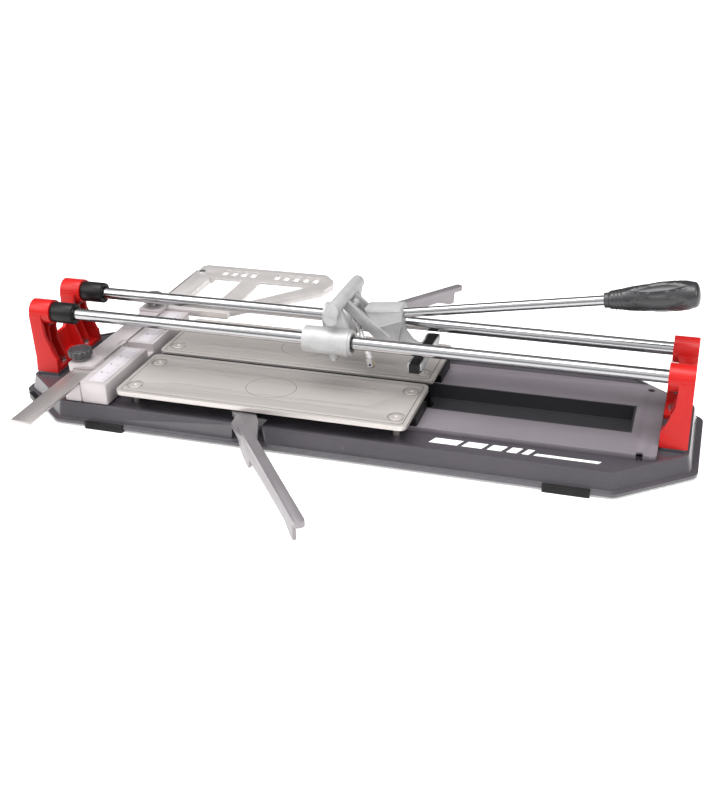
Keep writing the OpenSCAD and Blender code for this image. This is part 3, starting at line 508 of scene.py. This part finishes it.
def build_ticks():
    """Ticks of the two scales, with a small square at every fifth."""
    low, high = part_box("fence_scales")
    edge = high.x - 0.0018
    ticks = []
    for side in (-1, 1):
        for i in range(1, TICKS):
            y = side * (0.0125 + TICK_PITCH * i)
            reach = 0.0085 if i % 5 == 0 else 0.004
            ticks.append(rectangle(edge - reach, edge, y, LINE_HALF))
            if i % 5 == 0:
                ticks.append(rectangle(low.x + 0.004, low.x + 0.0062, y, 0.0011))
    flat_marks("scale_marks", "base", ticks, high.z - 0.00002, 0.00012, "knob_plastic")


def build_table_lines(table):
    """The oval, the long lines and the line along the edge that are pressed into a table, drawn as dark
    strips that paint the shade inside their grooves.
    """
    low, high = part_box(table)
    centre = ((low.x + high.x) / 2, (low.y + high.y) / 2)
    oval_ring(table + "_oval", table, centre, *OVAL_RADII, high.z, 0.0009, 0.00008, "groove_dark")
    first, last = low.x + LINES_IN, high.x - LINES_IN
    strips = []
    for across in (-0.030, -0.018, 0.018, 0.030):
        beside_oval = abs(across) <= 0.02
        runs = ((first, last),)
        if beside_oval:
            runs = ((first, centre[0] - OVAL_CLEAR), (centre[0] + OVAL_CLEAR, last))
        for x0, x1 in runs:
            strips.append(rectangle(x0, x1, centre[1] + across, LINE_HALF))
    z = high.z - LINE_SINK
    flat_marks(table + "_lines", table, strips, z, LINE_THICK, "groove_dark")
    rim_line(table + "_rim", table, low, high, 0.0050, 0.0012, z, LINE_THICK, "groove_dark")


def build_marks():
    build_stripes()
    build_ticks()
    for table in ("front_table", "back_table"):
        build_table_lines(table)


# each softened node with the width in metres and the segments of its rounding
SOFTENED = (
    ("base_pan", 0.0018, 3), ("deck_plate", 0.0008, 2), ("left_end_stand", 0.0012, 3),
    ("right_end_stand", 0.0012, 3), ("front_table", 0.0009, 3), ("back_table", 0.0009, 3),
    ("carriage_body", 0.0009, 3), ("lever_head", 0.0006, 2), ("breaker_foot", 0.0006, 2),
    ("fence_body", 0.0007, 2), ("fence_holder", 0.0007, 2), ("angle_square", 0.0011, 2),
    ("ruler_bar", 0.0004, 2), ("front_support_arm", 0.0011, 2), ("back_support_arm", 0.0011, 2),
    ("pivot_caps", 0.0006, 2), ("rail_bumpers", 0.0009, 2), ("rail_wipers", 0.0005, 2),
    ("front_table_screws", 0.0004, 2), ("back_table_screws", 0.0004, 2), ("grip_collar", 0.0008, 2),
    ("shaft_clamp_screw", 0.0006, 2), ("breaker_shoe", 0.0006, 2), ("rubber_feet", 0.0006, 2),
)


def build_pieces():
    """Finishes for every carried-over node, and softened copies of the castings and sheets."""
    for name, node in nodes.items():
        node.data.materials.clear()
        node.data.materials.append(made[slot_of(name)].mat)
        node.data.shade_smooth()
        node.data.set_sharp_from_angle(angle=SHARP_NODE)
    for node, width, segments in SOFTENED:
        soften(node, width, segments)


# ---- studio ------------------------------------------------------------------------------

LIGHT_FROM = (0.08, -0.42, 0.90)   # where the studio's broad soft light comes from
LIGHT_LEVELS = ((0.0, 0.30), (0.45, 0.10), (0.68, 0.16), (0.80, 0.45), (0.92, 0.90), (1.0, 1.0))


WORLD_STRENGTH = 1.5
FLOOR_HALF = 6.0
FLOOR_COLOUR, FLOOR_GLOW = 0.86, 0.36
# name, place, the point it faces, its width and height, and its watts
SOFTBOXES = (
    ("top", (-0.1, -0.35, 1.95), (0, 0, 0.05), (2.4, 0.9), 46),
    ("left", (-1.6, -1.0, 1.3), (0, 0, 0.1), (1.2, 1.2), 17),
    ("right", (1.7, -0.4, 0.9), (0, 0, 0.1), (1.0, 0.8), 10),
)


def build_world():
    """Soft light that is strongest from LIGHT_FROM, behind a plain white backdrop."""
    world = bpy.data.worlds.new("studio")
    scene.world = world
    world.use_nodes = True
    tree = world.node_tree
    lit = tree.nodes["Background"]
    lit.inputs["Strength"].default_value = WORLD_STRENGTH
    coord = tree.nodes.new("ShaderNodeTexCoord").outputs["Generated"]
    towards = tree.nodes.new("ShaderNodeVectorMath")
    towards.operation = "DOT_PRODUCT"
    towards.inputs[1].default_value = LIGHT_FROM
    tree.links.new(coord, towards.inputs[0])
    ramp = tree.nodes.new("ShaderNodeValToRGB")
    while len(ramp.color_ramp.elements) < len(LIGHT_LEVELS):
        ramp.color_ramp.elements.new(0.5)
    for element, (at, level) in zip(ramp.color_ramp.elements, LIGHT_LEVELS):
        element.position = at
        element.color = (level, level, level, 1)
    lift = tree.nodes.new("ShaderNodeMapRange")
    lift.inputs["From Min"].default_value = -1
    tree.links.new(towards.outputs["Value"], lift.inputs["Value"])
    tree.links.new(lift.outputs["Result"], ramp.inputs["Fac"])
    tree.links.new(ramp.outputs["Color"], lit.inputs["Color"])
    wall = tree.nodes.new("ShaderNodeBackground")
    wall.inputs["Color"].default_value = (1, 1, 1, 1)
    choose = tree.nodes.new("ShaderNodeMixShader")
    tree.links.new(tree.nodes.new("ShaderNodeLightPath").outputs["Is Camera Ray"], choose.inputs[0])
    tree.links.new(lit.outputs[0], choose.inputs[1])
    tree.links.new(wall.outputs[0], choose.inputs[2])
    tree.links.new(choose.outputs[0], tree.nodes["World Output"].inputs["Surface"])


def build_floor():
    """Pale floor that glows a little, so it stays close to the backdrop's white."""
    mesh = bpy.data.meshes.new("floor")
    half = FLOOR_HALF
    corners = [(-half, -half, 0), (half, -half, 0), (half, half, 0), (-half, half, 0)]
    mesh.from_pydata(corners, [], [(0, 1, 2, 3)])
    floor = bpy.data.objects.new("floor", mesh)
    scene.collection.objects.link(floor)
    plain = bpy.data.materials.new("floor")
    plain.use_nodes = True
    paper = plain.node_tree.nodes["Principled BSDF"].inputs
    paper["Base Color"].default_value = (FLOOR_COLOUR, FLOOR_COLOUR, FLOOR_COLOUR, 1)
    paper["Roughness"].default_value = 0.9
    paper["Emission Color"].default_value = (1, 1, 1, 1)
    paper["Emission Strength"].default_value = FLOOR_GLOW
    mesh.materials.append(plain)


def build_softbox(name, at, to, size, power):
    light = bpy.data.lights.new(name, "AREA")
    light.shape = "RECTANGLE"
    light.size, light.size_y = size
    light.energy = power
    lamp = bpy.data.objects.new(name, light)
    scene.collection.objects.link(lamp)
    aim = (Vector(at) - Vector(to)).to_track_quat("Z", "Y").to_matrix().to_4x4()
    lamp.matrix_world = Matrix.Translation(at) @ aim


def build_studio():
    build_world()
    build_floor()
    for box in SOFTBOXES:
        build_softbox(*box)


CAMERA_TURNS = (18.92, 27.57, -2.13)   # azimuth, elevation and roll in degrees
CAMERA_AT = (0.4280, -1.1888, 0.6704)
CAMERA_LENS = 48.93


def build_camera():
    """Camera at the photograph's viewing angle."""
    azimuth, elevation, roll = (math.radians(a) for a in CAMERA_TURNS)
    level = math.cos(elevation)
    back = Vector((math.sin(azimuth) * level, -math.cos(azimuth) * level, math.sin(elevation)))
    right = (-back).cross(Vector((0, 0, 1))).normalized()
    up = right.cross(-back)
    x_axis = math.cos(roll) * right + math.sin(roll) * up
    y_axis = -math.sin(roll) * right + math.cos(roll) * up
    data = bpy.data.cameras.new("camera")
    data.lens = CAMERA_LENS
    data.sensor_width = 36
    data.clip_end = 50
    camera = bpy.data.objects.new("camera", data)
    scene.collection.objects.link(camera)
    place = Matrix((x_axis, y_axis, back)).transposed().to_4x4()
    place.translation = CAMERA_AT
    camera.matrix_world = place
    scene.camera = camera


build_materials()
build_pieces()
build_grip()
for knob_node in ("front_knob", "back_knob"):
    build_knob(knob_node)
build_marks()
build_clip_ribs()
build_studio()
build_camera()
scene.view_settings.view_transform = "Standard"
